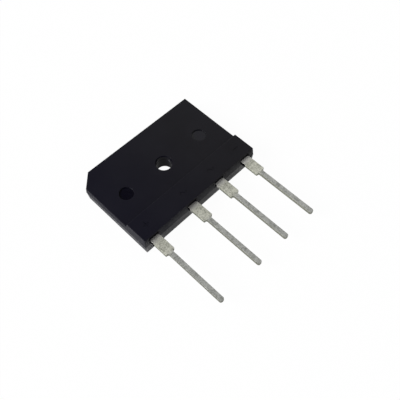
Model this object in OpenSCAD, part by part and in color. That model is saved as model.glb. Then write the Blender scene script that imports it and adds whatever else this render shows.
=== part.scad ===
// Bridge rectifier in a flat single-in-line package, lying on its rear (heat sink) face.
// Origin: centre of the mounting hole on the rear face. +Z leaves the marked front face and
// the leads point along -Y. The positive lead is on the -X side, under the cut corner.

/* [Case] */
// Width of the case across the lead row
case_w = 30; // [29.6:0.1:34]
// Height of the case from the lead side to the top edge
case_h = 20; // [19.6:0.1:23]
// Thickness of the case round the mounting hole
case_t = 3.6; // [3.4:0.05:4.4]
// Extra thickness of the raised foot along the lead side
foot_rise = 1; // [0.4:0.1:2]
// Depth of the raised foot, from the lead side to the top of its step
foot_h = 5.1; // [3.5:0.1:6]
// Run of the sloped step between the foot and the thin part
step_run = 0.35; // [0.1:0.05:1]
// Size of the 45 degree cut corner over the positive lead
corner_cut = 2.85; // [1.5:0.05:3.4]
// Draft of the walls in front of the parting plane, in degrees
front_draft = 5; // [1:0.5:8]
// Draft of the walls behind the parting plane, in degrees
rear_draft = 6; // [1:0.5:8]
// Draft of the lead side's wall behind the parting plane, in degrees
lead_side_draft = 1; // [1:0.5:8]

/* [Mounting hole] */
// Diameter of the mounting hole
hole_d = 3.3; // [2.8:0.1:3.6]
// Distance from the lead side to the hole's centre
hole_up = 10.8; // [10.4:0.1:11.4]
// Size of the broken edge at the hole's front rim
hole_break = 0.15; // [0.05:0.05:0.3]

/* [Ejector marks] */
// Diameter of the two round ejector-pin marks
mark_d = 3; // [1.5:0.1:4]
// Distance of each mark from the hole's centre
mark_out = 10; // [8:0.1:11]
// Depth of the marks
mark_depth = 0.25; // [0.05:0.01:0.3]

/* [Leads] */
// Distance between the positive lead and the first AC lead
pitch_wide = 10; // [9.5:0.1:10.6]
// Distance between the other neighbouring leads
pitch = 7.5; // [7.2:0.1:7.8]
// Height of the leads' rear face, which lies on the parting plane of the mould
strip_z = 2.5; // [2.4:0.05:2.6]
// Thickness of the lead-frame strip
lead_t = 0.7; // [0.4:0.05:0.8]
// Width of the wide part of a lead
wide_w = 2.2; // [1.6:0.05:2.4]
// Length of the wide part outside the case
wide_len = 4.1; // [2.5:0.1:6]
// Width of the narrow part that goes through the board
pin_w = 1; // [0.6:0.05:1.2]
// Length of a lead outside the case
lead_len = 17.3; // [12:0.1:20]
// Radius of the shoulder's outer corners
shoulder_r = 0.25; // [0.1:0.05:0.4]
// Radius of the inner corner between the shoulder and the narrow part
neck_r = 0.25; // [0.1:0.05:0.3]
// Radius of the lead tip's corners
tip_r = 0.42; // [0.2:0.02:0.48]
// Radius of the half-round locking notches just inside the case
notch_r = 0.3; // [0.15:0.05:0.35]

/* [Frame pads] */
// Epoxy left under the die pads
floor_t = 0.9; // [0.7:0.05:1.1]
// Epoxy left between the pads and the case's sides
pad_margin = 1.4; // [1.3:0.05:1.6]
// Gap between neighbouring pads
pad_gap = 0.8; // [0.5:0.05:1]
// Epoxy left between the hole's wall and the nearest metal
hole_clear = 1.85; // [1.5:0.05:2]
// Length of flat strip inside the case, before the strip steps down to the pads
bend_in = 1.2; // [1:0.05:1.4]
// Run of the joggle that takes the strip down to the pads
bend_run = 1.2; // [0.8:0.05:1.4]
// Reach of the two outer pads past the inner edge of their lead
arm_over = 0.75; // [0.5:0.05:0.9]

/* [Dice] */
// Side of a square rectifier die
die_w = 3.2; // [2.8:0.1:3.4]
// Thickness of a die
die_t = 0.3; // [0.2:0.02:0.34]
// Width of the glass-filled groove round the die's top
groove_w = 0.3; // [0.1:0.05:0.35]
// Depth of that groove
groove_t = 0.12; // [0.04:0.02:0.16]
// Thickness of a solder layer
solder_t = 0.1; // [0.05:0.01:0.12]
// How far a solder layer runs out past the piece that sits on it
solder_over = 0.12; // [0.05:0.01:0.15]

/* [Clips] */
// Width of a copper clip
clip_w = 2.2; // [1.4:0.1:2.4]
// Thickness of the clip strip
clip_t = 0.4; // [0.2:0.05:0.44]
// Length of a clip's foot
clip_foot = 2.2; // [1.4:0.1:2.4]
// Height of a clip's bridge over its die foot
clip_rise = 0.35; // [0.15:0.05:0.4]
// Slope of a clip's legs, in degrees
clip_angle = 35; // [25:1:50]

/* [Hidden] */
$fn = 48;
// Cutters pass a face, and fused shapes overlap, by this much
eps = 0.05;
// Half the length of the bars that the case's profiles are cut from
reach = 2 * (case_w + case_h);

epoxy = "#1e1e21";
tin = "#a3a59c";
silicon = "#5b5e66";
copper = "#b87345";
solder = "#8d9095";

// Edges of the case at the parting plane
side_y = -hole_up;
top_y = case_h - hole_up;
foot_z = case_t + foot_rise;
step_y = side_y + foot_h;
// Distance from the hole's centre to the cut corner's face
corner_d = (case_w / 2 + top_y - corner_cut) / sqrt(2);
// How far the draft takes each wall in at the rear face and at the front faces
rear_in = strip_z * tan(rear_draft);
lead_side_in = strip_z * tan(lead_side_draft);
foot_in = (foot_z - strip_z) * tan(front_draft);
thin_in = (case_t - strip_z) * tan(front_draft);

// The lead row is centred on the case
row = pitch_wide + 2 * pitch;
lead_x = [-row / 2, pitch_wide - row / 2, pitch_wide + pitch - row / 2, row / 2];
shoulder_y = side_y - wide_len;
tip_y = side_y - lead_len;
neck = min(neck_r, (wide_w - pin_w) / 2 - shoulder_r);
tip = min(tip_r, pin_w / 2 - eps);

// Plan of the pads: the positive one runs along the top edge, the others lie below it
pad_x = case_w / 2 - pad_margin;
pad_low = side_y + bend_in + bend_run + lead_t;
pad_high = top_y - pad_margin;
keep = hole_d / 2 + hole_clear;
upper_y = keep - pad_gap;
arm_x = lead_x[0] + wide_w / 2 + arm_over;
ac_outer = arm_x + pad_gap;
ac_middle = (lead_x[1] + lead_x[2]) / 2;
pad_cut = corner_cut - pad_margin * (2 - sqrt(2));

positive_pad = [[-pad_x, pad_low], [arm_x, pad_low], [arm_x, keep], [pad_x, keep],
                [pad_x, pad_high], [pad_cut - pad_x, pad_high], [-pad_x, pad_high - pad_cut]];
ac_pad_1 = [[ac_outer, pad_low], [ac_middle - pad_gap / 2, pad_low],
            [ac_middle - pad_gap / 2, -keep], [-keep, -keep], [-keep, upper_y], [ac_outer, upper_y]];
ac_pad_2 = [[ac_middle + pad_gap / 2, pad_low], [-ac_outer, pad_low], [-ac_outer, upper_y],
            [keep, upper_y], [keep, -keep], [ac_middle + pad_gap / 2, -keep]];
negative_pad = [[-arm_x, pad_low], [pad_x, pad_low], [pad_x, upper_y], [-arm_x, upper_y]];

// Levels of the stack on the pads
pad_top = floor_t + lead_t;
die_z = pad_top + solder_t;
die_top = die_z + die_t;
clip_z = die_top + solder_t;
bridge_z = clip_z + clip_rise;

// Dice 1 and 2 lie on the positive pad, 3 and 4 on the two AC pads
upper_x = (ac_outer - keep) / 2;
upper_row = (keep + pad_high) / 2;
lower_row = (pad_low - keep) / 2;
die_at = [[upper_x, upper_row], [-upper_x, upper_row],
          [(ac_outer + ac_middle - pad_gap / 2) / 2, lower_row],
          [(ac_middle + pad_gap / 2 - ac_outer) / 2, lower_row]];
// Far feet of the two AC clips and of the negative clip
foot_at = [[upper_x, (upper_y - keep) / 2], [-upper_x, (upper_y - keep) / 2],
           [(pad_x - arm_x) / 2, lower_row]];
// Runs of a clip's legs: up from a die, and down to a pad
leg_up = clip_rise / tan(clip_angle);
leg_down = (bridge_z - die_z) / tan(clip_angle);

// Unit vector along v, and v turned a quarter turn to the left
function unit(v) = v / norm(v);
function left(v) = [-v[1], v[0]];
// Direction of leg i of a path, where the last point takes the leg before it
function leg(path, i) =
    let (k = min(max(i, 0), len(path) - 2))
    unit(path[k + 1] - path[k]);
// Corner of a bent strip's upper face over point i of its lower face
function mitre(path, i, t) =
    let (a = leg(path, i - 1), b = leg(path, i))
    path[i] + t * (left(a) + left(b)) / (1 + a * b);
// Outline of a bent strip of thickness t whose lower face follows the path
function strip(path, t) =
    concat(path, [for (i = [len(path) - 1:-1:0]) mitre(path, i, t)]);

// A clip's foot, centred at s with its lower face at z
function foot(s, z) = [[s - clip_foot / 2, z], [s + clip_foot / 2, z]];
// The bridge between a die foot at a and the next foot at b, whose leg runs down for run
function bridge(a, b, run) =
    [[a + clip_foot / 2 + leg_up, bridge_z], [b - clip_foot / 2 - run, bridge_z]];

// Outline drawn in Y and Z, drawn out along X
module along_x(points, width) {
    rotate([90, 0, 90])
        linear_extrude(width, center = true)
            polygon(points);
}

// Wall profile of one side, d from the hole's centre at the parting plane
module wall_profile(d) {
    polygon([[-reach, 0], [d - rear_in, 0], [d, strip_z], [d - foot_in, foot_z], [-reach, foot_z]]);
}

// Everything on the hole's side of a drafted wall that faces the given direction
module behind_wall(direction, d) {
    rotate([90, 0, direction])
        linear_extrude(2 * reach, center = true)
            wall_profile(d);
}

// The moulding before its holes: a stepped side profile, trimmed by drafted walls
module case_block() {
    intersection() {
        along_x([[side_y + lead_side_in, 0], [side_y, strip_z], [side_y + foot_in, foot_z],
                 [step_y, foot_z], [step_y + step_run, case_t], [top_y - thin_in, case_t],
                 [top_y, strip_z], [top_y - rear_in, 0]], case_w + 2 * eps);
        behind_wall(0, case_w / 2);
        behind_wall(180, case_w / 2);
        behind_wall(135, corner_d);
    }
}

// Mounting hole with its broken front edge
module screw_hole() {
    translate([0, 0, -eps])
        cylinder(h = foot_z + 2 * eps, d = hole_d);
    translate([0, 0, case_t - hole_break])
        cylinder(h = hole_break + eps, d1 = hole_d, d2 = hole_d + 2 * (hole_break + eps));
}

// Shallow round mark left by an ejector pin
module ejector_mark(x) {
    translate([x, 0, case_t - mark_depth])
        cylinder(h = mark_depth + eps, d = mark_d);
}

// Bar centred on X = 0 from its round-cornered low end to its square high end
module round_bar(width, low, high, r) {
    translate([-width / 2, low + r])
        square([width, high - low - r]);
    translate([r - width / 2, low])
        square([width - 2 * r, r]);
    for (side = [-1, 1])
        translate([side * (width / 2 - r), low + r])
            circle(r);
}

// Plan of the lead outside the case and of the flat strip just inside it
module lead_plan() {
    difference() {
        union() {
            round_bar(wide_w, shoulder_y, side_y + bend_in, shoulder_r);
            round_bar(pin_w, tip_y, shoulder_y + shoulder_r, tip);
            difference() {
                translate([-pin_w / 2 - neck, shoulder_y - neck])
                    square([pin_w + 2 * neck, neck]);
                for (side = [-1, 1])
                    translate([side * (pin_w / 2 + neck), shoulder_y - neck])
                        circle(neck);
            }
        }
        for (side = [-1, 1])
            translate([side * wide_w / 2, side_y + bend_in / 2])
                circle(notch_r);
    }
}

// One stamped lead: straight terminal, joggle down inside the case, and die pad
module lead(x, pad) {
    flat_end = side_y + bend_in;
    joggle = [[flat_end - eps, strip_z], [flat_end, strip_z],
              [flat_end + bend_run, floor_t], [pad_low, floor_t]];
    translate([x, 0, strip_z])
        linear_extrude(lead_t)
            lead_plan();
    translate([x, 0, 0])
        along_x(strip(joggle, lead_t), wide_w);
    translate([0, 0, floor_t])
        linear_extrude(lead_t)
            polygon(pad);
}

module positive_lead() {
    color(tin) lead(lead_x[0], positive_pad);
}

module ac_lead_1() {
    color(tin) lead(lead_x[1], ac_pad_1);
}

module ac_lead_2() {
    color(tin) lead(lead_x[2], ac_pad_2);
}

module negative_lead() {
    color(tin) lead(lead_x[3], negative_pad);
}

// Flat plate centred over a point, with its lower face at z
module plate(at, z, size, t) {
    translate([at[0] - size[0] / 2, at[1] - size[1] / 2, z])
        cube([size[0], size[1], t]);
}

// Solder under a foot of the given size, run out past it on all sides
module solder_layer(at, z, size) {
    color(solder) plate(at, z, size + 2 * [solder_over, solder_over], solder_t);
}

// Silicon die with a glass-filled groove round its top face
module die(i) {
    mesa = die_w - 2 * groove_w;
    color(silicon) {
        plate(die_at[i], die_z, [die_w, die_w], die_t - groove_t);
        plate(die_at[i], die_z, [mesa, mesa], die_t);
    }
}

// Solder between a pad and its die
module die_solder(i) {
    solder_layer(die_at[i], pad_top, [die_w, die_w]);
}

// Solder between a die and its clip
module top_solder(i) {
    solder_layer(die_at[i], die_top, i < 2 ? [clip_w, clip_foot] : [clip_foot, clip_w]);
}

// Solder between a clip's far foot and its pad
module foot_solder(i) {
    solder_layer(foot_at[i], pad_top, i < 2 ? [clip_w, clip_foot] : [clip_foot, clip_w]);
}

// Clip from a die on the positive pad down to an AC pad
module ac_clip(i) {
    span = die_at[i][1] - foot_at[i][1];
    path = concat(foot(0, clip_z), bridge(0, span, leg_down), foot(span, die_z));
    color(copper)
        translate([die_at[i][0], die_at[i][1], 0])
            mirror([0, 1, 0])
                along_x(strip(path, clip_t), clip_w);
}

// Clip that joins the tops of the two dice on the AC pads to the negative pad
module negative_clip() {
    a = die_at[2][0];
    b = die_at[3][0];
    c = foot_at[2][0];
    path = concat(foot(a, clip_z), bridge(a, b, leg_up), foot(b, clip_z),
                  bridge(b, c, leg_down), foot(c, die_z));
    color(copper)
        translate([0, lower_row, 0])
            rotate(-90)
                along_x(strip(path, clip_t), clip_w);
}

// Everything that the epoxy is moulded round
module insides() {
    positive_lead();
    ac_lead_1();
    ac_lead_2();
    negative_lead();
    for (i = [0:3]) {
        die(i);
        die_solder(i);
        top_solder(i);
    }
    for (i = [0:1])
        ac_clip(i);
    negative_clip();
    for (i = [0:2])
        foot_solder(i);
}

// The moulded epoxy case
module case() {
    color(epoxy)
        difference() {
            case_block();
            screw_hole();
            for (side = [-1, 1])
                ejector_mark(side * mark_out);
            insides();
        }
}

case();
positive_lead();
ac_lead_1();
ac_lead_2();
negative_lead();
die(0);  // die_1
die(1);  // die_2
die(2);  // die_3
die(3);  // die_4
ac_clip(0);  // ac_clip_1
ac_clip(1);  // ac_clip_2
negative_clip();
die_solder(0);  // die_solder_1
die_solder(1);  // die_solder_2
die_solder(2);  // die_solder_3
die_solder(3);  // die_solder_4
top_solder(0);  // top_solder_1
top_solder(1);  // top_solder_2
top_solder(2);  // top_solder_3
top_solder(3);  // top_solder_4
foot_solder(0);  // foot_solder_1
foot_solder(1);  // foot_solder_2
foot_solder(2);  // foot_solder_3
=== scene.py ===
# Looks of a four-lead bridge rectifier in a flat moulded case, lying on its rear face.
import math
import random

import bmesh
import bpy
from mathutils import Matrix, Vector


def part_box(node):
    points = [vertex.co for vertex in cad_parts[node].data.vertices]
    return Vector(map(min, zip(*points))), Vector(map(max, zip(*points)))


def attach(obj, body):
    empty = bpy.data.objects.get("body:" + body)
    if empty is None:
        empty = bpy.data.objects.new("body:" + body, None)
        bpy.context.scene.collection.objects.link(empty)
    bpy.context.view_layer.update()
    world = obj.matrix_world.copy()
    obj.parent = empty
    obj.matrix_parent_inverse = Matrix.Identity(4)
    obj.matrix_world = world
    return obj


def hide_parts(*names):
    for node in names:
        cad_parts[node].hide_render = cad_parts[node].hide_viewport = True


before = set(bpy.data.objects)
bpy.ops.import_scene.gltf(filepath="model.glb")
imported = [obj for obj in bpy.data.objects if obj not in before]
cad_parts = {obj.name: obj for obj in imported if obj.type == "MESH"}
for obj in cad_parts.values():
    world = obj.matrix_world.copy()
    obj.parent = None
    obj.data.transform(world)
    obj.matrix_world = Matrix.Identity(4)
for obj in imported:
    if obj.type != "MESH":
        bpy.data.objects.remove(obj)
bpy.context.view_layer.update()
print("frame loaded:", len(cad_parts), "solids")

mm = 0.001
hair = 0.001 * mm         # points closer than this are the same point
scene = bpy.context.scene


# small tools used by every piece

def srgb(code):
    # sRGB hex to the linear colour that Blender's sockets take
    parts = [int(code[i:i + 2], 16) / 255 for i in (1, 3, 5)]
    return [p / 12.92 if p <= 0.04045 else ((p + 0.055) / 1.055) ** 2.4 for p in parts] + [1.0]


def setInput(tree, socket, value):
    # joins a node's first output, or the output given, or else sets the value
    if isinstance(value, bpy.types.Node):
        value = value.outputs[0]
    if isinstance(value, bpy.types.NodeSocket):
        tree.links.new(value, socket)
    else:
        socket.default_value = value


def addNode(tree, kind, settings=None, inputs=None):
    node = tree.nodes.new(kind)
    for name, value in (settings or {}).items():
        setattr(node, name, value)
    for name, value in (inputs or {}).items():
        setInput(tree, node.inputs[name], value)
    return node


def newObject(name, mesh):
    piece = bpy.data.objects.new(name, mesh)
    scene.collection.objects.link(piece)
    return piece


def drop(piece):
    mesh = piece.data
    bpy.data.objects.remove(piece)
    if mesh.users == 0:
        bpy.data.meshes.remove(mesh)


def settle(piece):
    # puts the result of the modifiers into the mesh and takes the modifiers off
    graph = bpy.context.evaluated_depsgraph_get()
    done = bpy.data.meshes.new_from_object(piece.evaluated_get(graph), depsgraph=graph)
    piece.modifiers.clear()
    before = piece.data
    piece.data = done
    done.name = piece.name
    if before.users == 0:
        bpy.data.meshes.remove(before)


def smoothFaces(piece, degrees, crease=None):
    # soft faces up to that angle, with the large faces deciding the normals; edges that lie at the
    # crease level stay sharp whatever their angle
    mesh = piece.data
    mesh.shade_smooth()
    mesh.set_sharp_from_angle(angle=math.radians(degrees))
    if crease is not None:
        sharp = mesh.attributes["sharp_edge"].data
        for edge in mesh.edges:
            if all(abs(mesh.vertices[v].co.z - crease) < hair for v in edge.vertices):
                sharp[edge.index].value = True
    weighted = piece.modifiers.new("weighted", "WEIGHTED_NORMAL")
    weighted.keep_sharp = True
    settle(piece)


def roundEdges(piece, width, segments, degrees):
    bevel = piece.modifiers.new("round", "BEVEL")
    bevel.width = width
    bevel.segments = segments
    bevel.limit_method = "ANGLE"
    bevel.angle_limit = math.radians(degrees)
    bevel.use_clamp_overlap = False


def meshPiece(name, shape, *finishes):
    # makes a finished shape an object, with its faces turned outward
    bmesh.ops.recalc_face_normals(shape, faces=shape.faces)
    mesh = bpy.data.meshes.new(name)
    shape.to_mesh(mesh)
    shape.free()
    for finish in finishes:
        mesh.materials.append(finish)
    return newObject(name, mesh)


def addBand(shape, lower, upper):
    # a closed band of faces from one ring of corners to the next
    for i in range(len(lower)):
        j = (i + 1) % len(lower)
        shape.faces.new((lower[i], lower[j], upper[j], upper[i]))


def prism(name, outline, low, high, finish, alongX=False):
    # closed bar over an outline, in millimetres: upright over a plan, or along X over a side view
    shape = bmesh.new()
    ends = [[shape.verts.new([c * mm for c in ((end, a, b) if alongX else (a, b, end))]) for a, b in outline]
            for end in (low, high)]
    shape.faces.new(ends[0][::-1])
    shape.faces.new(ends[1])
    addBand(shape, *ends)
    return meshPiece(name, shape, finish)


def turned(name, profile, centre, sides, *finishes):
    # closed turned shape in millimetres: profile is a list of (radius, height), from the bottom up
    shape = bmesh.new()
    rings = []
    for radius, height in profile:
        ring = []
        for k in range(sides):
            a = 2 * math.pi * k / sides
            ring.append(shape.verts.new((centre[0] * mm + radius * mm * math.cos(a),
                                         centre[1] * mm + radius * mm * math.sin(a), height * mm)))
        rings.append(ring)
    shape.faces.new(rings[0][::-1])
    shape.faces.new(rings[-1])
    for lower, upper in zip(rings, rings[1:]):
        addBand(shape, lower, upper)
    return meshPiece(name, shape, *finishes)


def cutOrJoin(piece, tools, operation):
    # takes the tools out of the piece, or joins them to it, and deletes them
    group = bpy.data.collections.new("tools")
    for tool in tools:
        group.objects.link(tool)
    boolean = piece.modifiers.new("boolean", "BOOLEAN")
    boolean.operation = operation
    boolean.solver = "EXACT"
    boolean.operand_type = "COLLECTION"
    boolean.collection = group
    boolean.material_mode = "TRANSFER"
    settle(piece)
    for tool in tools:
        drop(tool)
    bpy.data.collections.remove(group)


# materials

def startMaterial(name):
    material = bpy.data.materials.new(name)
    material.use_nodes = True
    tree = material.node_tree
    tree.nodes.clear()
    place = addNode(tree, "ShaderNodeTexCoord").outputs["Object"]
    return material, tree, place


def finishMaterial(tree, colour, rough, height, bump, settings):
    # the shader with its relief: bump is its strength and its height in millimetres
    relief = addNode(tree, "ShaderNodeBump", {},
                     {"Strength": bump[0], "Distance": bump[1] * mm, "Height": height})
    inputs = {"Base Color": colour, "Roughness": rough, "Normal": relief.outputs["Normal"], **settings}
    shader = addNode(tree, "ShaderNodeBsdfPrincipled", {}, inputs)
    addNode(tree, "ShaderNodeOutputMaterial", {}, {"Surface": shader})


def perSize(size):
    # a texture's scale for a pattern of that size in millimetres
    return 1 / (size * mm)


noiseSpan = (0.3, 0.7)    # a noise's values nearly all lie between these


def addNoise(tree, place, size, detail, weight=0.5):
    # clouds of that size in millimetres, with levels of finer detail and their weight
    return addNode(tree, "ShaderNodeTexNoise", {},
                   {"Vector": place, "Scale": perSize(size), "Detail": detail, "Roughness": weight})


def addCells(tree, place, size, feature="F1"):
    # distance from the middle of the nearest cell, with cells of that size in millimetres
    return addNode(tree, "ShaderNodeTexVoronoi", {"feature": feature},
                   {"Vector": place, "Scale": perSize(size)})


def drawOut(tree, place, share):
    # coordinates in which a pattern is drawn out along Y
    return addNode(tree, "ShaderNodeMapping", {"vector_type": "POINT"},
                   {"Vector": place, "Scale": (1, share, 1)})


def addMath(tree, operation, *values, clamp=False):
    return addNode(tree, "ShaderNodeMath", {"operation": operation, "use_clamp": clamp},
                   dict(enumerate(values)))


def remap(tree, value, start, end, low=0, high=1):
    # goes from low to high while the value goes from start to end
    return addNode(tree, "ShaderNodeMapRange", {},
                   {"Value": value, "From Min": start, "From Max": end, "To Min": low, "To Max": high})


def mixColours(tree, share, *colours):
    # from the first colour to the second; each is a hex code, a socket or a node
    first, second = (srgb(c) if isinstance(c, str) else c for c in colours)
    mixed = addNode(tree, "ShaderNodeMix", {"data_type": "RGBA"}, {"Factor": share, 6: first, 7: second})
    return mixed.outputs[2]


# In the looks below, a noise (also a cloud, a grain, a frost or a line) is its size in mm, its levels of
# finer detail and their weight, and a bump is a strength and a height in mm.

# Epoxy moulding compound, moulded in a spark-eroded cavity: near-black and matte, with a fine
# pebbled grain that only shows where light grazes it, faint clouds where the filler flowed, and painted
# shade that makes it darker and bluer toward the left end.
# The rear half of the mould is polished, so the case is smoother behind the parting line, and smoothest
# on the lead side, where the trim die rubs it.
epoxyIor = 1.55
epoxyLook = {
    "dark": "#0c0b11",
    "pale": "#111016",
    "cloud": (5.5, 3, 0.55),
    "cloudSpan": (0.35, 0.65),    # values of the clouds, from dark to pale
    "leftShade": "#050414",       # painted shade: darker and bluer toward the left end of the case
    "leftShadeEnds": (-13, 7),         # mm along X, from there to the full tone
    "filler": "#2c2c34",
    "fillerGrain": 0.35,
    "fillerRim": (0.16, 0.05, 0, 0.35),   # distances between which a grain of filler shows, and how much
    "grain": (0.24, 2, 0.6),      # the real grain is 0.05 mm, drawn coarser so that it shows
    "bump": (0.6, 0.012),
    "roughness": {"front": (0.45, 0.55), "rear": (0.40, 0.50), "rubbed": (0.2, 0.3), "wiped": (0.4, 0.5)},
    "specular": {"front": 0.2, "rear": 0.28, "rubbed": 1.0, "wiped": 0.24},
    "rising": {"rubbed": (0.0, 2.5, 0.4), "wiped": (2.5, 4.5, 0.35)},   # mm up, mm up, added roughness
}


def mouldedEpoxy(finish, name):
    look = epoxyLook
    material, tree, place = startMaterial(name)
    cloud = addNoise(tree, place, *look["cloud"])
    grain = addNoise(tree, place, *look["grain"])
    speck = addCells(tree, place, look["fillerGrain"])
    tone = remap(tree, cloud, *look["cloudSpan"])
    mixed = mixColours(tree, tone, look["dark"], look["pale"])
    where = addNode(tree, "ShaderNodeSeparateXYZ", {}, {"Vector": place}).outputs
    # painted shade, darker and bluer toward the left end
    leftShading = remap(tree, where["X"], *[x * mm for x in look["leftShadeEnds"]])
    body = mixColours(tree, leftShading, look["leftShade"], mixed)
    dot = remap(tree, speck, *look["fillerRim"])
    colour = mixColours(tree, dot, body, look["filler"])
    rough = remap(tree, cloud, *noiseSpan, *look["roughness"][finish])
    if finish in look["rising"]:
        # the die wipes the wall most at its lower edge
        start, end, added = look["rising"][finish]
        rise = remap(tree, where["Z"], start * mm, end * mm, 0, added)
        rough = addMath(tree, "ADD", rough, rise)
    finishMaterial(tree, colour, rough, grain, look["bump"],
                   {"IOR": epoxyIor, "Specular IOR Level": look["specular"][finish]})
    return material


# The same epoxy against ground and polished steel, on an ejector pin's end or round a core pin: smoother
# and darker, with a faint haze from wear of the steel.
groundLook = {"noise": (0.9, 3), "colours": ("#020109", "#040312"), "bump": (0.3, 0.004), "specular": 0.28}

# The same epoxy in the shallow reliefs over the lead roots and as the slivers beside the leads, near-black
# and dull,
# so that it hardly mirrors anything: painted shade where the leads enter the case.
darkShadeLook = {"noise": (0.4, 3), "colours": ("#050409", "#0a0910"), "bump": (0.5, 0.01), "specular": 0.04}


def plainEpoxy(name, look, roughness):
    # one noise for the colour, the roughness and the relief
    material, tree, place = startMaterial(name)
    noise = addNoise(tree, place, *look["noise"])
    colour = mixColours(tree, noise, *look["colours"])
    rough = remap(tree, noise, 0, 1, *roughness)
    finishMaterial(tree, colour, rough, noise, look["bump"],
                   {"IOR": epoxyIor, "Specular IOR Level": look["specular"]})
    return material


# The same epoxy where the gate was snapped off: a dull, paler fracture that shows the silica filler.
brokenLook = {
    "colours": ("#1b1a21", "#2b2a31"),
    "noise": (0.5, 3),
    "filler": "#5a5a60",
    "fillerGrain": 0.16,
    "fillerRim": (0.25, 0.08, 0, 0.5),
    "roughness": (0.7, 0.85),
    "bump": (0.6, 0.02),
    "specular": 0.2,
}


def brokenGateEpoxy():
    look = brokenLook
    material, tree, place = startMaterial("broken_epoxy")
    grit = addCells(tree, place, look["fillerGrain"])
    cloud = addNoise(tree, place, *look["noise"])
    speck = remap(tree, grit, *look["fillerRim"])
    body = mixColours(tree, cloud, *look["colours"])
    colour = mixColours(tree, speck, body, look["filler"])
    rough = remap(tree, cloud, 0, 1, *look["roughness"])
    finishMaterial(tree, colour, rough, cloud, look["bump"],
                   {"IOR": epoxyIor, "Specular IOR Level": look["specular"]})
    return material


# Matte tin electroplated over stamped copper strip after moulding: a satin, slightly warm grey with
# frosty mottling and fine rolling lines. Its stamped sides are duller, with a smooth sheared band above and
# a ragged, rougher one below, and their darker colour, on the rounded edges too, is partly painted shade
# that takes down the lamp's light there. A pale painted light lies at the roots, where the plating meets
# the case, lifting the shade that the case casts on them.
# Inside the epoxy the copper stays bare.
tinLook = {
    "dull": "#afb0a4",
    "bright": "#f8f8eb",
    "mottleWeight": 0.6,        # of the clouds, over the frost
    "mottleSpan": (0.57, 0.92), # values of the two together, from dull to bright
    "pinTone": "#e4e5ed",
    "pinStart": (-14.6, -15.4), # mm along Y, where the thin pin starts
    "burnishedAndShaded": "#8b8c82",
    "tornAndShaded": "#75766d",
    "sideTilt": (0.97, 0.8),    # upward share of the normal, from a flat face to a stamped side
    "tearLevel": 2.87,          # mm up, where the burnished band ends, before the frost makes it ragged
    "tearRagged": 0.3,
    "tearBlur": 0.03,
    "rackEnds": (-12.5, 12.5),  # mm along X, the ends of the row of leads
    "rowLight": (0.93, 1.05),   # painted light and shade: darker toward the left end of the row, lighter toward the right,
    "rowSideLight": (0.93, 1.3),   # and more so on the stamped sides, where it offsets the key lamp's light at the left end
    "wideSideLight": 1.42,          # painted light: the wide parts' sides lighter, over the pins' sides
    # painted light at the lead roots, lifting the shade that the case casts on them
    "rootLight": "#fdfcf8",
    "rowRootLight": (0.45, -0.6),  # what the painted light at the roots adds to the metallic, held at 1 or less
    "rootLightReach": 1.3,          # mm from the case
    "rootLightWander": 0.6,
    "caseEdge": -10.78,         # mm along Y, where the plating stops
    "copper": "#b87345",
    "copperStart": (0.25, 0.3), # mm inside the edge
    "cloud": (0.9, 3, 0.6),
    "frost": (0.3, 3, 0.7),     # real tin crystals are near 0.01 mm, drawn coarser so that they show
    "rollLine": (0.12, 1),
    "rolling": 0.06,            # how much the rolling lines are drawn out, less being longer
    "roughness": (0.56, 0.7),
    "sideRoughness": 0.1,       # added on the stamped sides
    "bump": (0.5, 0.008),
}


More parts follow.
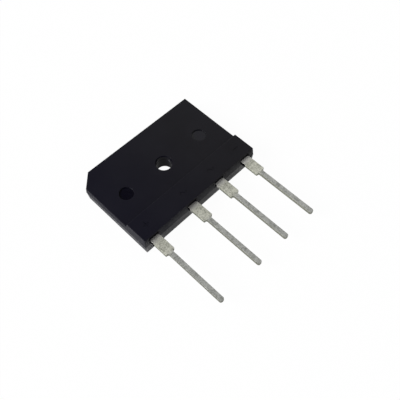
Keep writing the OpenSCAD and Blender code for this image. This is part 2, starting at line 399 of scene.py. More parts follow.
def tinPlate():
    look = tinLook
    material, tree, place = startMaterial("matte_tin_plate")
    cloud = addNoise(tree, place, *look["cloud"])
    frost = addNoise(tree, place, *look["frost"])
    rolled = addNoise(tree, drawOut(tree, place, look["rolling"]), *look["rollLine"])
    where = addNode(tree, "ShaderNodeSeparateXYZ", {}, {"Vector": place}).outputs
    thin = remap(tree, where["Y"], *[y * mm for y in look["pinStart"]])
    mottle = addMath(tree, "MULTIPLY_ADD", cloud, look["mottleWeight"], frost)
    patch = remap(tree, mottle, *look["mottleSpan"])
    tinned = mixColours(tree, patch, look["dull"], look["bright"])
    plate = addNode(tree, "ShaderNodeMix", {"data_type": "RGBA", "blend_type": "MULTIPLY"},
                    {"Factor": thin, 6: tinned, 7: srgb(look["pinTone"])})
    # painted light and shade along the row of leads
    ends = [x * mm for x in look["rackEnds"]]
    lean = {which: remap(tree, where["X"], *ends, *look[which])
            for which in ("rowLight", "rowSideLight", "rowRootLight")}
    topLean = addNode(tree, "ShaderNodeVectorMath", {"operation": "SCALE"},
                      {0: plate.outputs[2], "Scale": lean["rowLight"]})
    # the stamped sides are the faces that look sideways
    normal = addNode(tree, "ShaderNodeTexCoord").outputs["Normal"]
    upward = addNode(tree, "ShaderNodeSeparateXYZ", {}, {"Vector": normal}).outputs["Z"]
    facing = addMath(tree, "ABSOLUTE", upward)
    stamped = remap(tree, facing, *look["sideTilt"])
    ragged = addMath(tree, "MULTIPLY_ADD", frost, look["tearRagged"] * mm, where["Z"])
    tear, blur = look["tearLevel"] * mm, look["tearBlur"] * mm
    tearing = remap(tree, ragged, tear + blur, tear - blur)
    # partly painted shade: the sides and rounded edges are darker than the faces
    side = mixColours(tree, tearing, look["burnishedAndShaded"], look["tornAndShaded"])
    wider = remap(tree, thin, 0, 1, look["wideSideLight"], 1)
    sideTone = addMath(tree, "MULTIPLY", lean["rowSideLight"], wider)
    sideLean = addNode(tree, "ShaderNodeVectorMath", {"operation": "SCALE"}, {0: side, "Scale": sideTone})
    faces = mixColours(tree, stamped, topLean, sideLean)
    # painted light at the roots: paler and less metallic near the case
    wander = addMath(tree, "MULTIPLY_ADD", cloud, -look["rootLightWander"] * mm, where["Y"])
    edge, middle = look["caseEdge"] * mm, look["rootLightWander"] / 2
    rootLit = addNode(tree, "ShaderNodeMapRange", {"interpolation_type": "SMOOTHSTEP"},
                      {"Value": wander, "From Min": edge - (look["rootLightReach"] + middle) * mm,
                       "From Max": edge - middle * mm})
    plated = mixColours(tree, rootLit, faces, look["rootLight"])
    inside = remap(tree, where["Y"], *[edge + past * mm for past in look["copperStart"]])
    colour = mixColours(tree, inside, plated, look["copper"])
    smooth = remap(tree, frost, *noiseSpan, *look["roughness"][::-1])
    rough = addMath(tree, "MULTIPLY_ADD", stamped, look["sideRoughness"], smooth)
    height = addMath(tree, "ADD", frost, rolled)
    metal = addMath(tree, "MULTIPLY_ADD", rootLit, lean["rowRootLight"], 1, clamp=True)
    finishMaterial(tree, colour, rough, height, look["bump"], {"Metallic": metal})
    return material


# Glass-passivated silicon, sawn and lapped: blue-grey, half-gloss, with faint saw lines.
siliconLook = {"noise": (0.8, 2), "colours": ("#4d515b", "#6a6d74"), "sawLine": (0.09, 1), "sawing": 0.1,
               "roughness": (0.18, 0.36), "bump": (0.3, 0.003), "metallic": 0.3}


def passivatedSilicon():
    look = siliconLook
    material, tree, place = startMaterial("passivated_silicon")
    line = addNoise(tree, drawOut(tree, place, look["sawing"]), *look["sawLine"])
    haze = addNoise(tree, place, *look["noise"])
    colour = mixColours(tree, haze, *look["colours"])
    rough = remap(tree, line, 0, 1, *look["roughness"])
    finishMaterial(tree, colour, rough, line, look["bump"], {"Metallic": look["metallic"]})
    return material


# Bare rolled and stamped copper: warm, with rolling lines along the strip and brown tarnish patches.
copperLook = {"noise": (1.4, 4, 0.6), "patchSpan": (0.45, 0.7), "colours": ("#c47b4d", "#93573a"),
              "rollLine": (0.1, 2), "rolling": 0.08, "roughness": (0.25, 0.5), "bump": (0.4, 0.005)}


def stampedCopper():
    look = copperLook
    material, tree, place = startMaterial("stamped_copper")
    line = addNoise(tree, drawOut(tree, place, look["rolling"]), *look["rollLine"])
    tarnish = addNoise(tree, place, *look["noise"])
    patch = remap(tree, tarnish, *look["patchSpan"])
    colour = mixColours(tree, patch, *look["colours"])
    rough = remap(tree, tarnish, 0, 1, *look["roughness"])
    finishMaterial(tree, colour, rough, line, look["bump"], {"Metallic": 1})
    return material


# High-lead solder, reflowed under pressure: dull grey with a frosty, cratered skin.
solderLook = {"noise": (0.3, 3, 0.65), "colours": ("#7e8184", "#a6a8aa"), "crater": 0.5,
              "roughness": (0.4, 0.65), "bump": (0.5, 0.02)}


def reflowedSolder():
    look = solderLook
    material, tree, place = startMaterial("reflowed_solder")
    frost = addNoise(tree, place, *look["noise"])
    crater = addCells(tree, place, look["crater"], "SMOOTH_F1")
    colour = mixColours(tree, frost, *look["colours"])
    rough = remap(tree, frost, 0, 1, *look["roughness"])
    finishMaterial(tree, colour, rough, crater, look["bump"], {"Metallic": 1})
    return material


epoxy = mouldedEpoxy("front", "spark_eroded_epoxy")
rearEpoxy = mouldedEpoxy("rear", "polished_mould_epoxy")
rubbedEpoxy = mouldedEpoxy("rubbed", "trim_rubbed_epoxy")
wipedEpoxy = mouldedEpoxy("wiped", "trim_wiped_epoxy")
pinFace = plainEpoxy("pin_face_epoxy", groundLook, (0.12, 0.2))
coreEpoxy = plainEpoxy("core_pin_epoxy", groundLook, (0.2, 0.3))
brokenEpoxy = brokenGateEpoxy()
# near-black dull epoxy: painted shade in the reliefs and slivers by the lead roots
shadeEpoxy = plainEpoxy("painted_shade_epoxy", darkShadeLook, (0.7, 0.9))
tin = tinPlate()
print("materials made")


leadColumns = {"positive_lead": -12.5, "ac_lead_1": -2.5, "ac_lead_2": 5.0, "negative_lead": 12.5}

caseSizes = {             # millimetres and degrees, from the middle of the mounting hole
    "thickness": 3.6,
    "parting": 2.5,       # level where the two halves of the mould meet, under the leads
    "frontDraft": 5,
    "rearDraft": 6,
    "leadSideDraft": 1,   # rear half of the lead side's wall
    "footDepth": 5.1,
    "stepRun": 0.35,
    "corner": 2.85,
    "edgeRadius": 0.07,
    "edgeSegments": 4,
    "edgeAngle": 30,      # edges sharper than this are rounded
    "smoothAngle": 24,    # and faces that meet at less are shaded as one
    "hole": 1.65,
    "holeBreak": 0.15,
    "holeFlash": 0.03,    # ring left where the two core pins meet
    "toolPast": 0.5,      # how far the cutting tools run out past a face
    "holeSides": 96,
    "markSides": 72,
    "markRadius": 1.5,
    "markOut": 10,
    "markDepth": 0.25,
    "rearMarks": [(-11, -7.4), (11, -7.4), (-9, 6.4), (11, 6.4)],
    "rearMarkRadius": 1.0,
    "rearMarkDepth": 0.06,
    "markRim": 0.03,      # softening of a mark's rim
}


def caseBlock():
    # drafted walls round a stepped front face: one ring of corners for each level
    s = caseSizes
    low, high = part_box("case")
    slope = {side: math.tan(math.radians(s[side])) for side in ("frontDraft", "rearDraft", "leadSideDraft")}
    right, bottom, top = high.x / mm, low.y / mm, high.y / mm
    thin, foot, parting = s["thickness"], high.z / mm, s["parting"]
    stepTop = bottom + s["footDepth"]
    diagonal = right + top - s["corner"]

    def ring(level):
        # the five wall corners, counterclockwise from the lead side's left end
        away = abs(level - parting)
        inset = away * slope["rearDraft" if level < parting else "frontDraft"]
        near = bottom + away * slope["leadSideDraft" if level < parting else "frontDraft"]
        x, y, cut = right - inset, top - inset, diagonal - inset * math.sqrt(2)
        plan = [(-x, near), (x, near), (x, y), (y - cut, y), (-x, cut - x)]
        return [(across, along, level) for across, along in plan]

    def make(points):
        return [shape.verts.new([c * mm for c in p]) for p in points]

    shape = bmesh.new()
    rear, middle = make(ring(0)), make(ring(parting))
    thinRing = ring(thin)
    footRing = ring(foot)
    x = footRing[1][0]
    stepLow = make([(side, stepTop + s["stepRun"], thin) for side, _, _ in thinRing[:2]])
    upper = make(thinRing[2:])
    footLow = make(footRing[:2])
    footHigh = make([(-x, stepTop, foot), (x, stepTop, foot)])
    shape.faces.new(rear[::-1])
    addBand(shape, rear, middle)
    shape.faces.new((middle[0], middle[1], footLow[1], footLow[0]))
    shape.faces.new((middle[1], middle[2], upper[0], stepLow[1], footHigh[1], footLow[1]))
    shape.faces.new((middle[2], middle[3], upper[1], upper[0]))
    shape.faces.new((middle[3], middle[4], upper[2], upper[1]))
    shape.faces.new((middle[4], middle[0], footLow[0], footHigh[0], stepLow[0], upper[2]))
    shape.faces.new((footLow[0], footLow[1], footHigh[1], footHigh[0]))
    shape.faces.new((footHigh[0], footHigh[1], stepLow[1], stepLow[0]))
    shape.faces.new((stepLow[0], stepLow[1], upper[0], upper[1], upper[2]))
    finishes = (epoxy, rearEpoxy, rubbedEpoxy, wipedEpoxy)
    piece = meshPiece("moulded_case", shape, *finishes)
    for face in piece.data.polygons:
        leadSide = face.normal.y < -0.9
        if face.center.z < parting * mm:
            finish = rubbedEpoxy if leadSide else rearEpoxy
        else:
            finish = wipedEpoxy if leadSide else epoxy
        face.material_index = finishes.index(finish)
    roundEdges(piece, s["edgeRadius"] * mm, s["edgeSegments"], s["edgeAngle"])
    settle(piece)
    return piece


def holeTool():
    s = caseSizes
    r, front, parting, ring = s["hole"], s["thickness"], s["parting"], s["holeFlash"]
    edge, past = s["holeBreak"], s["toolPast"]
    # from the rounded rear rim, past the ring, to the rounded front rim
    profile = [(r + edge, -past), (r + edge, 0), (r + 0.35 * edge, 0.35 * edge), (r, edge),
               (r, parting - 2 * ring), (r - ring, parting - ring), (r - ring, parting + ring),
               (r, parting + 2 * ring), (r, front - edge), (r + 0.3 * edge, front - 0.35 * edge),
               (r + edge, front), (r + edge, front + past)]
    return turned("hole_tool", profile, (0, 0), s["holeSides"], coreEpoxy)


def markTool(x, y, radius, face, depth, inward):
    # shallow disc with a softened rim; inward is -1 for the front face and 1 for the rear
    soft = caseSizes["markRim"]
    levels = [(radius, face - inward * caseSizes["toolPast"]), (radius, face + inward * (depth - soft)),
              (radius - soft, face + inward * depth)]
    if inward < 0:
        levels.reverse()
    tool = turned("mark_tool", levels, (x, y), caseSizes["markSides"], epoxy, pinFace)
    for end in tool.data.polygons:
        if len(end.vertices) > 4:
            end.material_index = 1
    return tool


reliefSizes = {           # shallow wedge in the wall over each lead's root, holding painted shade, in millimetres
    "left": 1.35,
    "right": 0.95,
    "low": 3.0,
    "high": 4.4,
    "depth": 0.25,
    "step": 0.02,         # how far short of the wall it runs out
}


def reliefTool(column):
    # deepest at the lead and running out toward the front face
    s = reliefSizes
    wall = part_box("case")[0].y / mm
    outside = wall - caseSizes["toolPast"]
    lean = math.tan(math.radians(caseSizes["frontDraft"]))
    inner, outer = (wall + (s[end] - caseSizes["parting"]) * lean for end in ("low", "high"))
    section = [(outside, s["low"]), (inner + s["depth"], s["low"]), (outer - s["step"], s["high"]),
               (outside, s["high"])]
    return prism("relief_tool", section, column - s["left"], column + s["right"], shadeEpoxy, alongX=True)


signSizes = {             # the moulded signs + ~ ~ - over the leads
    "columns": [-12.2, -2.5, 5.0, 12.2],
    "row": -8.15,
    "width": 1.5,
    "arm": 0.6,           # half the length of a bar of + or -
    "wave": 0.34,
    "waveSteps": 12,      # from the middle of ~ to an end
    "stroke": 0.24,
    "depth": 0.07,
    "above": 0.4,         # how far the tools run out past the face
}


def strokeTool(points, width, low, high):
    # bar of even width with round ends that follows a line in plan
    capSteps = 8
    left, right = [], []
    for i, p in enumerate(points):
        a, b = points[max(i - 1, 0)], points[min(i + 1, len(points) - 1)]
        way = (Vector(b) - Vector(a)).normalized()
        side = Vector((-way.y, way.x)) * width / 2
        left.append(Vector(p) + side)
        right.append(Vector(p) - side)

    def cap(centre, start):
        return [Vector(centre) + Matrix.Rotation(-math.pi * k / capSteps, 2) @ (start - Vector(centre))
                for k in range(1, capSteps)]

    outline = left + cap(points[-1], left[-1]) + right[::-1] + cap(points[0], right[0])
    return prism("stroke_tool", [(p.x, p.y) for p in outline], low, high, epoxy)


def signTools():
    s = signSizes
    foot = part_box("case")[1].z / mm
    y, wavy, arm, steps = s["row"], s["width"] / 2, s["arm"], s["waveSteps"]
    lines = []
    for kind, x in zip("+~~-", s["columns"]):
        if kind == "~":
            turns = [t / steps for t in range(-steps, steps + 1)]
            lines.append([(x + wavy * t, y - s["wave"] * math.sin(math.pi * t)) for t in turns])
        else:
            lines.append([(x - arm, y), (x + arm, y)])
        if kind == "+":
            lines.append([(x, y - arm), (x, y + arm)])
    return [strokeTool(line, s["stroke"], foot - s["depth"], foot + s["above"]) for line in lines]


def makeCase():
    s = caseSizes
    case = caseBlock()
    tools = [holeTool()] + signTools() + [reliefTool(x) for x in leadColumns.values()]
    tools += [markTool(side * s["markOut"], 0, s["markRadius"], s["thickness"], s["markDepth"], -1)
              for side in (-1, 1)]
    tools += [markTool(x, y, s["rearMarkRadius"], 0, s["rearMarkDepth"], 1) for x, y in s["rearMarks"]]
    cutOrJoin(case, tools, "DIFFERENCE")
    smoothFaces(case, s["smoothAngle"], s["parting"] * mm)
    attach(case, "root")
    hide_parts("case")
    return case


case = makeCase()
print("case:", len(case.data.polygons), "faces")

flashSizes = {            # the thin ridge squeezed out where the mould closes, in millimetres
    "proud": 0.035,
    "root": 0.05,
    "thickness": 0.06,
    "spacing": 0.3,
    "unevenness": 0.6,    # share of the height
    "noiseSpan": (0.35, 0.65),    # values of the noise, from the lowest to the full height
    "wave": 1.4,
    "seed": 4.0,
}


def startTree(name, sizes, others):
    # Geometry Nodes tree with its named inputs, and their identifiers by name
    tree = bpy.data.node_groups.new(name, "GeometryNodeTree")
    sockets = {}
    for each, kind in list(others.items()) + [(each, "Float") for each in sizes]:
        socket = tree.interface.new_socket(each, in_out="INPUT", socket_type="NodeSocket" + kind)
        sockets[each] = socket.identifier
    tree.interface.new_socket("Geometry", in_out="OUTPUT", socket_type="NodeSocketGeometry")
    return tree, sockets, addNode(tree, "NodeGroupInput").outputs


def byIndex(tree, kind, values):
    # gives each corner its own value
    index = addNode(tree, "GeometryNodeInputIndex")
    switch = addNode(tree, "GeometryNodeIndexSwitch", {"data_type": kind}, {"Index": index})
    while len(switch.index_switch_items) < len(values):
        switch.index_switch_items.new()
    for i, value in enumerate(values):
        setInput(tree, switch.inputs[i + 1], value)
    return switch


def cornerLoop(tree, corners):
    # closed curve from corner to corner
    loop = addNode(tree, "GeometryNodeMeshCircle", {"fill_type": "NONE"}, {"Vertices": len(corners)})
    shaped = addNode(tree, "GeometryNodeSetPosition", {},
                     {"Geometry": loop, "Position": byIndex(tree, "VECTOR", corners)})
    return addNode(tree, "GeometryNodeMeshToCurve", {}, {"Mesh": shaped})


def finishTree(tree, geometry, material):
    real = addNode(tree, "GeometryNodeRealizeInstances", {}, {"Geometry": geometry})
    finish = addNode(tree, "GeometryNodeSetMaterial", {}, {"Geometry": real, "Material": material})
    addNode(tree, "NodeGroupOutput", {}, {0: finish})


def useTree(piece, tree, sockets, sizes, others):
    # puts the tree on a piece, with its sizes in millimetres
    grow = piece.modifiers.new("grow", "NODES")
    grow.node_group = tree
    for name, value in [(name, size * mm) for name, size in sizes.items()] + list(others.items()):
        grow[sockets[name]] = value


def flashTree():
    # ridge that follows a closed outline, of uneven height
    tree, sockets, given = startTree(
        "partingFlash", ("Proud", "Root", "Thickness", "Spacing", "Wave"),
        {"Outline": "Geometry", "Unevenness": "Float", "Seed": "Float", "Material": "Material"})
    path = addNode(tree, "GeometryNodeMeshToCurve", {}, {"Mesh": given["Outline"]})
    even = addNode(tree, "GeometryNodeResampleCurve", {"mode": "LENGTH"},
                   {"Curve": path, "Length": given["Spacing"]})
    pitch = addMath(tree, "DIVIDE", 1, given["Wave"])
    noise = addNode(tree, "ShaderNodeTexNoise", {"noise_dimensions": "4D"},
                    {"Vector": addNode(tree, "GeometryNodeInputPosition"),
                     "W": given["Seed"], "Scale": pitch, "Detail": 2.0})
    least = addMath(tree, "SUBTRACT", 1, given["Unevenness"])
    height = remap(tree, noise, *flashSizes["noiseSpan"], least)
    # the ridge's cross-section: its root is inside the case and its narrower crest stands proud
    back = addMath(tree, "MULTIPLY", given["Root"], -1)
    corners = []
    for x, share in ((back, -0.5), (given["Proud"], -0.2), (given["Proud"], 0.2), (back, 0.5)):
        level = addMath(tree, "MULTIPLY", given["Thickness"], share)
        corners.append(addNode(tree, "ShaderNodeCombineXYZ", {}, {"X": x, "Y": level}))
    swept = addNode(tree, "GeometryNodeCurveToMesh", {},
                    {"Curve": even, "Profile Curve": cornerLoop(tree, corners), "Scale": height})
    finishTree(tree, swept, given["Material"])
    return tree, sockets


def makeFlash():
    s = flashSizes
    low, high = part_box("case")
    x, y, cut = high.x, high.y, caseSizes["corner"] * mm
    z = caseSizes["parting"] * mm
    outline = bpy.data.meshes.new("parting_flash")
    corners = [(-x, low.y, z), (x, low.y, z), (x, y, z), (cut - x, y, z), (-x, y - cut, z)]
    outline.from_pydata(corners, [(i, (i + 1) % 5) for i in range(5)], [])
    flash = newObject("parting_flash", outline)
    tree, sockets = flashTree()
    sizes = {name.capitalize(): s[name] for name in ("proud", "root", "thickness", "spacing", "wave")}
    useTree(flash, tree, sockets, sizes,
            {"Unevenness": s["unevenness"], "Seed": s["seed"], "Material": epoxy})
    settle(flash)
    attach(flash, "root")
    return flash


flash = makeFlash()
print("parting flash:", len(flash.data.polygons), "faces")

gateSizes = {             # the broken-off stub of the resin gate on the far end wall, in millimetres
    "x": 6.0,
    "width": 2.4,
    "low": 1.95,
    "high": 2.6,
    "proud": 0.1,
    "root": 0.3,
    "roughness": 0.07,
    "cells": (16, 5),     # of the grid over the broken face
    "strayX": 0.03,       # how far its corners stray
    "strayZ": 0.02,
    "rimHeight": 0.3,     # share of the height that the stub has at its rim
    "seed": 11,
}


def makeGate():
    # grid over the stub with an uneven broken face, closed back into the wall
    s = gateSizes
    chance = random.Random(s["seed"])
    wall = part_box("case")[1].y / mm
    columns, rows = s["cells"]
    shape = bmesh.new()
    grid = []
    for j in range(rows + 1):
        line = []
        for i in range(columns + 1):
            rim = i in (0, columns) or j in (0, rows)
            x = s["x"] + s["width"] * (i / columns - 0.5) + chance.uniform(-s["strayX"], s["strayX"])
            z = s["low"] + (s["high"] - s["low"]) * j / rows + chance.uniform(-s["strayZ"], s["strayZ"])
            y = wall + s["proud"] * (s["rimHeight"] if rim else 1.0)
            y += chance.uniform(-1, 1) * s["roughness"] / 2
            line.append(shape.verts.new((x * mm, y * mm, z * mm)))
        grid.append(line)
    for j in range(rows):
        for i in range(columns):
            shape.faces.new((grid[j][i], grid[j][i + 1], grid[j + 1][i + 1], grid[j + 1][i]))
    rim = [grid[0][i] for i in range(columns)] + [grid[j][columns] for j in range(rows)]
    rim += [grid[rows][i] for i in range(columns, 0, -1)] + [grid[j][0] for j in range(rows, 0, -1)]
    back = [shape.verts.new((v.co.x, (wall - s["root"]) * mm, v.co.z)) for v in rim]
    addBand(shape, rim, back)
    shape.faces.new(back)
    gate = meshPiece("gate_vestige", shape, brokenEpoxy)
    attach(gate, "root")
    return gate


gate = makeGate()
print("gate vestige:", len(gate.data.polygons), "faces")


leadSizes = {             # millimetres, in plan along -Y
    "rootY": -10.55,      # just inside the case, where the terminal meets the pad's strip
    "cutY": -10.6,
    "shoulderY": -14.9,
    "strip": 2.5,
    "thickness": 0.7,
    "wide": 2.2,
    "pin": 1.0,
    "shoulderRadius": 0.25,
    "neckRadius": 0.25,
    "tipRadius": 0.42,
    "filletSteps": 6,
    "edge": 0.05,         # rounding of the stamped edges under the plating
    "edgeSegments": 3,
    "edgeAngle": 40,
    "smoothAngle": 31,
}


def terminalTree():
    # stamped terminal: an eight-cornered outline with filleted corners, filled and given its thickness
    tree, sockets, given = startTree(
        "stampedTerminal", ("Column", "Root Y", "Shoulder Y", "Tip Y", "Lower Face", "Thickness",
                            "Wide Width", "Pin Width", "Root Radius", "Shoulder Radius", "Neck Radius",
                            "Tip Radius"),
        {"Material": "Material"})
    half = {}
    for width in ("Wide Width", "Pin Width"):
        for sign in (-1, 1):
            half[width, sign] = addMath(tree, "MULTIPLY", given[width], sign / 2)
    leftSide = [("Wide Width", "Root Y", "Root Radius"), ("Wide Width", "Shoulder Y", "Shoulder Radius"),
                ("Pin Width", "Shoulder Y", "Neck Radius"), ("Pin Width", "Tip Y", "Tip Radius")]
    outline = [(-1, corner) for corner in leftSide] + [(1, corner) for corner in reversed(leftSide)]
    corners, radii = [], []
    for sign, (width, y, radius) in outline:
        corners.append(addNode(tree, "ShaderNodeCombineXYZ", {}, {"X": half[width, sign], "Y": given[y]}))
        radii.append(given[radius])
    fillet = addNode(tree, "GeometryNodeFilletCurve", {"mode": "POLY"},
                     {"Curve": cornerLoop(tree, corners), "Count": leadSizes["filletSteps"],
                      "Radius": byIndex(tree, "FLOAT", radii), "Limit Radius": True})
    face = addNode(tree, "GeometryNodeFillCurve", {"mode": "NGONS"}, {"Curve": fillet})
    upward = addNode(tree, "ShaderNodeCombineXYZ", {}, {"Z": given["Thickness"]})
    raised = addNode(tree, "GeometryNodeExtrudeMesh", {"mode": "FACES"},
                     {"Mesh": face, "Offset": upward, "Offset Scale": 1.0, "Individual": False})
    under = addNode(tree, "GeometryNodeFlipFaces", {}, {"Mesh": face})
    both = addNode(tree, "GeometryNodeJoinGeometry")
    for shell in (raised, under):
        setInput(tree, both.inputs[0], shell)
    merged = addNode(tree, "GeometryNodeMergeByDistance", {}, {"Geometry": both, "Distance": hair})
    shift = addNode(tree, "ShaderNodeCombineXYZ", {}, {"X": given["Column"], "Z": given["Lower Face"]})
    moved = addNode(tree, "GeometryNodeSetPosition", {}, {"Geometry": merged, "Offset": shift})
    finishTree(tree, moved, given["Material"])
    return tree, sockets


def padPart(node, cutY):
    # the part of a lead inside the case, cut from a merged copy of its solid
    shape = bmesh.new()
    shape.from_mesh(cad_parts[node].data)
    bmesh.ops.remove_doubles(shape, verts=shape.verts, dist=hair)
    everything = list(shape.verts) + list(shape.edges) + list(shape.faces)
    cut = bmesh.ops.bisect_plane(shape, geom=everything, plane_co=(0, cutY, 0), plane_no=(0, -1, 0),
                                 clear_outer=True)
    rim = [e for e in cut["geom_cut"] if isinstance(e, bmesh.types.BMEdge)]
    bmesh.ops.holes_fill(shape, edges=rim)
    bmesh.ops.dissolve_limit(shape, angle_limit=math.radians(1), verts=shape.verts, edges=shape.edges)
    return meshPiece(node + "_pad", shape, tin)


def makeLead(node, column, tree, sockets):
    s = leadSizes
    lead = newObject("tinned_" + node, bpy.data.meshes.new(node))
    sizes = {"Column": column, "Root Y": s["rootY"], "Shoulder Y": s["shoulderY"],
             "Tip Y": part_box(node)[0].y / mm, "Lower Face": s["strip"], "Thickness": s["thickness"],
             "Wide Width": s["wide"], "Pin Width": s["pin"], "Root Radius": 0,
             "Shoulder Radius": s["shoulderRadius"], "Neck Radius": s["neckRadius"],
             "Tip Radius": s["tipRadius"]}
    useTree(lead, tree, sockets, sizes, {"Material": tin})
    roundEdges(lead, s["edge"] * mm, s["edgeSegments"], s["edgeAngle"])
    settle(lead)
    cutOrJoin(lead, [padPart(node, s["cutY"] * mm)], "UNION")
    smoothFaces(lead, s["smoothAngle"])
    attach(lead, "root")
    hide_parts(node)
    return lead


tree, sockets = terminalTree()
leads = [makeLead(node, x, tree, sockets) for node, x in leadColumns.items()]
print("leads:", [len(lead.data.polygons) for lead in leads], "faces")


sliverSizes = {           # dark slivers on the leads' sides by the case, painted shade, in millimetres
    "left": {"positive_lead": 0.95, "ac_lead_1": 0.3, "ac_lead_2": 0.2, "negative_lead": 0.9},
    "right": {"positive_lead": 0.3, "ac_lead_1": 0.35, "ac_lead_2": 0.25, "negative_lead": 0.2},
    "thickness": 0.07,
    "tip": 0.01,          # thickness at the end, past the taper
    "sunk": (0.03, 0.15), # how far they run into the lead and into the case
    "taper": 0.25,
    "low": 2.5,
    "high": 3.17,
}


def makeSlivers():
    # dark slivers beside the lead roots: painted shade
    s = sliverSizes
    wall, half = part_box("case")[0].y / mm, leadSizes["wide"] / 2
    start = wall + s["sunk"][1]
    bars = []
    for side, sign in (("left", -1), ("right", 1)):
        for node, length in s[side].items():
            inner, outer, tip = (leadColumns[node] + sign * (half + out)
                                 for out in (-s["sunk"][0], s["thickness"], s["tip"]))
            end = wall - length
            plan = [(inner, start), (outer, start), (outer, end + min(s["taper"], length / 2)),
                    (tip, end), (inner, end)]
            bars.append(prism("sliver", plan, s["low"], s["high"], shadeEpoxy))
    shape = bmesh.new()
    for bar in bars:
        shape.from_mesh(bar.data)
        drop(bar)
    slivers = meshPiece("painted_shade_slivers", shape, shadeEpoxy)
    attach(slivers, "root")
    return slivers


slivers = makeSlivers()
# the slivers are painted shade beside the lead roots
print("resin slivers:", len(slivers.data.polygons), "faces")


# the pieces inside keep their solids and get their finish
solder, silicon, copper = reflowedSolder(), passivatedSilicon(), stampedCopper()
insideFinish = {"die_solder": solder, "top_solder": solder, "foot_solder": solder, "die": silicon,
                "ac_clip": copper, "negative_clip": copper}
for name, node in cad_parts.items():
    kind = name.rstrip("_0123456789")
    if kind in insideFinish:
        node.data.materials.clear()
        node.data.materials.append(insideFinish[kind])
print("inner pieces finished")


stageSizes = {
    "floor": 3.0,         # metres
    "floorColour": "#f8f8f8",
    "fibre": (40, 2),     # a noise, as in the looks
    "seenGlow": 0.97,     # share of the floor's whiteness that the light doesn't change, where it is seen
    "mirroredGlow": 0.2,  # and where it is mirrored
    "gap": 0.02,          # mm under the case
    "skyHeights": (0.2, 0.75),    # sines of the elevations between which the sky darkens
    "skyLevels": (0.9, 0.1),
    "skyPaleWay": (-0.8, 0.6, 0),
    "skySides": (0.4, 1.2),       # shares on the dark and on the pale side
    "aim": (0, -9.5, 0),  # mm, what the lamps point at
    "lampDistance": 0.5,
    "lamps": {            # the way to each from its aim, its width in metres and its power in watts
        "key": ((-0.85, 0.35, 0.62), 0.3, 2.9),
        "fill": ((0.7, -0.9, 0.7), 0.3, 0.35),
        "window": ((0.62, 0.42, 0.66), 0.35, 0.2),
    },
}


def makeFloor():
    s = stageSizes
    material, tree, place = startMaterial("white_paper_floor")
    fibre = addNoise(tree, place, *s["fibre"])
    paper = addNode(tree, "ShaderNodeBsdfDiffuse", {},
                    {"Color": srgb(s["floorColour"]), "Roughness": fibre})
    white = addNode(tree, "ShaderNodeEmission", {}, {"Color": (1, 1, 1, 1), "Strength": 1.0})
    path = addNode(tree, "ShaderNodeLightPath").outputs
    mirrored = addMath(tree, "MAXIMUM", path["Is Glossy Ray"], path["Is Transmission Ray"])
    glow = addMath(tree, "MULTIPLY", mirrored, s["mirroredGlow"])
    share = addMath(tree, "MULTIPLY_ADD", path["Is Camera Ray"], s["seenGlow"], glow)
    mixed = addNode(tree, "ShaderNodeMixShader", {}, {0: share, 1: paper, 2: white})
    # the paper is clear from below and to light that has only crossed the gap, so that the rear face
    # shows from underneath
    close = addMath(tree, "LESS_THAN", path["Ray Length"], 3 * s["gap"] * mm)
    clear = addMath(tree, "MAXIMUM", close, addNode(tree, "ShaderNodeNewGeometry").outputs["Backfacing"])
    air = addNode(tree, "ShaderNodeBsdfTransparent")
    both = addNode(tree, "ShaderNodeMixShader", {}, {0: clear, 1: mixed, 2: air})
    addNode(tree, "ShaderNodeOutputMaterial", {}, {"Surface": both})
    half, z = s["floor"] / 2, -s["gap"] * mm
    mesh = bpy.data.meshes.new("floor")
    mesh.from_pydata([(-half, -half, z), (half, -half, z), (half, half, z), (-half, half, z)], [],
                     [(0, 1, 2, 3)])
    mesh.materials.append(material)
    floor = newObject("floor", mesh)


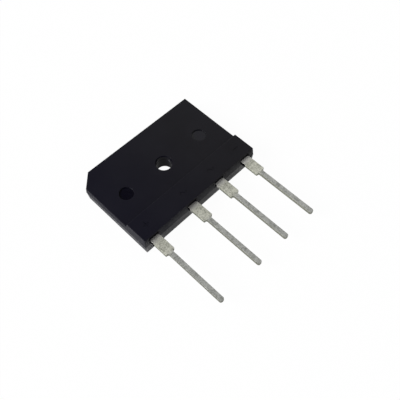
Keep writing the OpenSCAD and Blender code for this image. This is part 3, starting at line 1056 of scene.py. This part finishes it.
def makeWorld():
    # pale round the horizon and paler on the left behind, dark overhead, so that flat faces mirror
    # something calm and the walls differ from each other
    s = stageSizes
    world = bpy.data.worlds.new("studio")
    scene.world = world
    world.use_nodes = True
    tree = world.node_tree
    tree.nodes.clear()
    way = addNode(tree, "ShaderNodeTexCoord").outputs["Generated"]
    up = addNode(tree, "ShaderNodeSeparateXYZ", {}, {"Vector": way}).outputs["Z"]
    level = addNode(tree, "ShaderNodeMapRange", {"interpolation_type": "SMOOTHSTEP"},
                    {"Value": up, "From Min": s["skyHeights"][0], "From Max": s["skyHeights"][1],
                     "To Min": s["skyLevels"][0], "To Max": s["skyLevels"][1]})
    side = addNode(tree, "ShaderNodeVectorMath", {"operation": "DOT_PRODUCT"}, {0: way, 1: s["skyPaleWay"]})
    tilt = remap(tree, side.outputs["Value"], -1, 1, *s["skySides"])
    both = addMath(tree, "MULTIPLY", level, tilt)
    seen = addNode(tree, "ShaderNodeLightPath").outputs["Is Camera Ray"]
    strength = addNode(tree, "ShaderNodeMix", {"data_type": "FLOAT"}, {0: seen, 2: both, 3: 1.0})
    sky = addNode(tree, "ShaderNodeBackground", {}, {"Color": (1, 1, 1, 1), "Strength": strength})
    addNode(tree, "ShaderNodeOutputWorld", {}, {"Surface": sky})


def makeLamp(name, way, size, power):
    lamp = bpy.data.lights.new(name, "AREA")
    lamp.shape = "DISK"
    lamp.size = size
    lamp.energy = power
    holder = bpy.data.objects.new(name, lamp)
    scene.collection.objects.link(holder)
    way = Vector(way).normalized()
    holder.location = Vector(stageSizes["aim"]) * mm + way * stageSizes["lampDistance"]
    holder.rotation_euler = way.to_track_quat("Z", "Y").to_euler()


cameraSizes = {           # millimetres and degrees
    "place": (-38.913, -47.296, 92.098),
    "azimuth": -46.366,
    "elevation": 59.388,
    "roll": 1.039,
    "lens": 48.06,
    "sensor": 36,
}


def makeCamera():
    s = cameraSizes
    data = bpy.data.cameras.new("camera")
    data.sensor_width = s["sensor"]
    data.lens = s["lens"]
    data.clip_start = 5 * mm
    data.clip_end = 10
    camera = bpy.data.objects.new("camera", data)
    scene.collection.objects.link(camera)
    a, e = math.radians(s["azimuth"]), math.radians(s["elevation"])
    back = Vector((math.sin(a) * math.cos(e), -math.cos(a) * math.cos(e), math.sin(e)))
    level = Vector((math.cos(a), math.sin(a), 0))
    turn = Matrix.Rotation(math.radians(s["roll"]), 3, back)
    right = turn @ level
    up = back.cross(right)
    camera.matrix_world = Matrix((right, up, back)).transposed().to_4x4()
    camera.location = Vector(s["place"]) * mm
    scene.camera = camera


makeFloor()
makeWorld()
for name, lamp in stageSizes["lamps"].items():
    makeLamp(name, *lamp)
makeCamera()
scene.view_settings.view_transform = "Standard"
print("stage and camera set")
